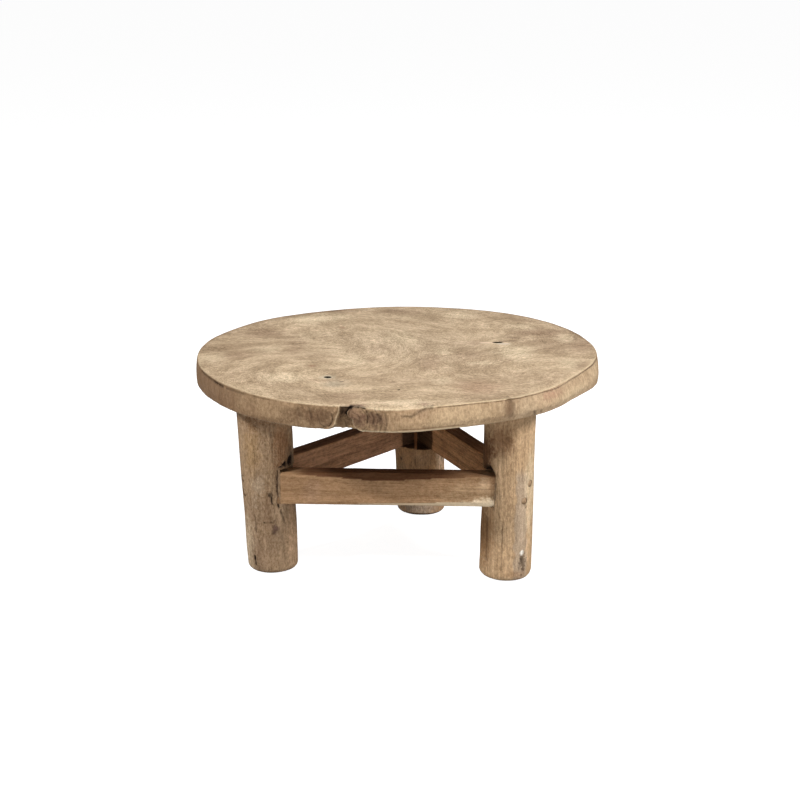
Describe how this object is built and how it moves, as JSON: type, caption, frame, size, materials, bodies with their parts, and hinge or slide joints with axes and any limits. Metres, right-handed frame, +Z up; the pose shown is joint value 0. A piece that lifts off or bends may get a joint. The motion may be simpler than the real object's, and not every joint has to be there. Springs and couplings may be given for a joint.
{
  "type": "low table",
  "caption": "Round low table: a thick natural-edge wooden slab on log legs, tied together by stretcher rails mortised into the legs.",
  "frame": {"origin": "on the floor, under the middle of the round slab", "axes": "+Z up, -Y towards the front with the bark inlet, +X to the right"},
  "size_m": [0.6005, 0.5988, 0.31],
  "materials": {
    "slab_wood": "bleached, sanded, matt",
    "leg_wood": "weathered, rough grain, matt",
    "rail_wood": "sawn, dry, matt",
    "peg_wood": "end grain, matt",
    "screw_steel": "dulled"
  },
  "bodies": {
    "root": {"tabletop": "slab_wood", "leg_front_left": "leg_wood", "leg_front_right": "leg_wood", "leg_back": "leg_wood", "rail_front": "rail_wood", "rail_right": "rail_wood", "rail_left": "rail_wood", "peg_rail_front_leg_front_left": "peg_wood", "peg_rail_front_leg_front_right": "peg_wood", "peg_rail_right_leg_front_right": "peg_wood", "peg_rail_right_leg_back": "peg_wood", "peg_rail_left_leg_back": "peg_wood", "peg_rail_left_leg_front_left": "peg_wood", "screw_leg_front_left": "screw_steel", "screw_leg_front_right": "screw_steel", "screw_leg_back": "screw_steel"}
  },
  "joints": []
}
